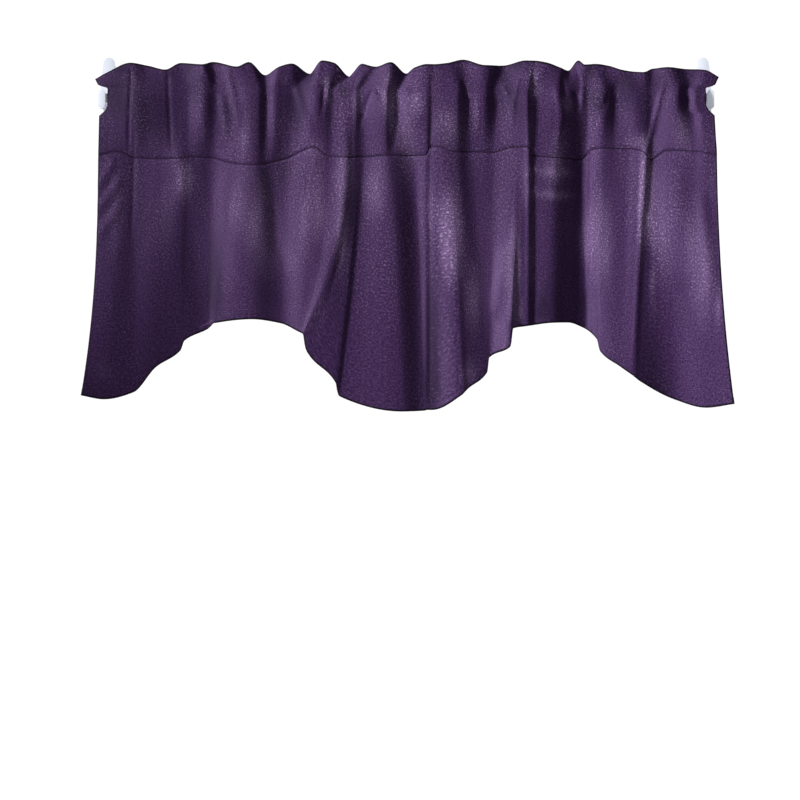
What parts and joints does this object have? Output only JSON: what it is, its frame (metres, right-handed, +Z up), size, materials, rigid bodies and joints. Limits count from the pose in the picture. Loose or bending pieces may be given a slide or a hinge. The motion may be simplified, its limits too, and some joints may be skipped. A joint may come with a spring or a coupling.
{
  "type": "window valance on a curtain rod with wall hooks",
  "caption": "Scalloped satin window valance, gathered in a pocket along a white curtain rod that wall hooks carry.",
  "frame": {"origin": "on the back face of the left hook's plate, on its middle line, at the height of the rod's axis", "axes": "+X along the rod from the left hook to the right one, +Y into the wall, +Z up"},
  "size_m": [0.8465, 0.0886, 0.4709],
  "materials": {
    "satin": "dark purple slubby satin, soft sheen",
    "rod_paint": "white paint, satin",
    "hook_plastic": "cool white moulded plastic"
  },
  "bodies": {
    "root": {"valance_cloth": "satin", "rod": "rod_paint", "hook_left": "hook_plastic", "hook_right": "hook_plastic"}
  },
  "joints": []
}
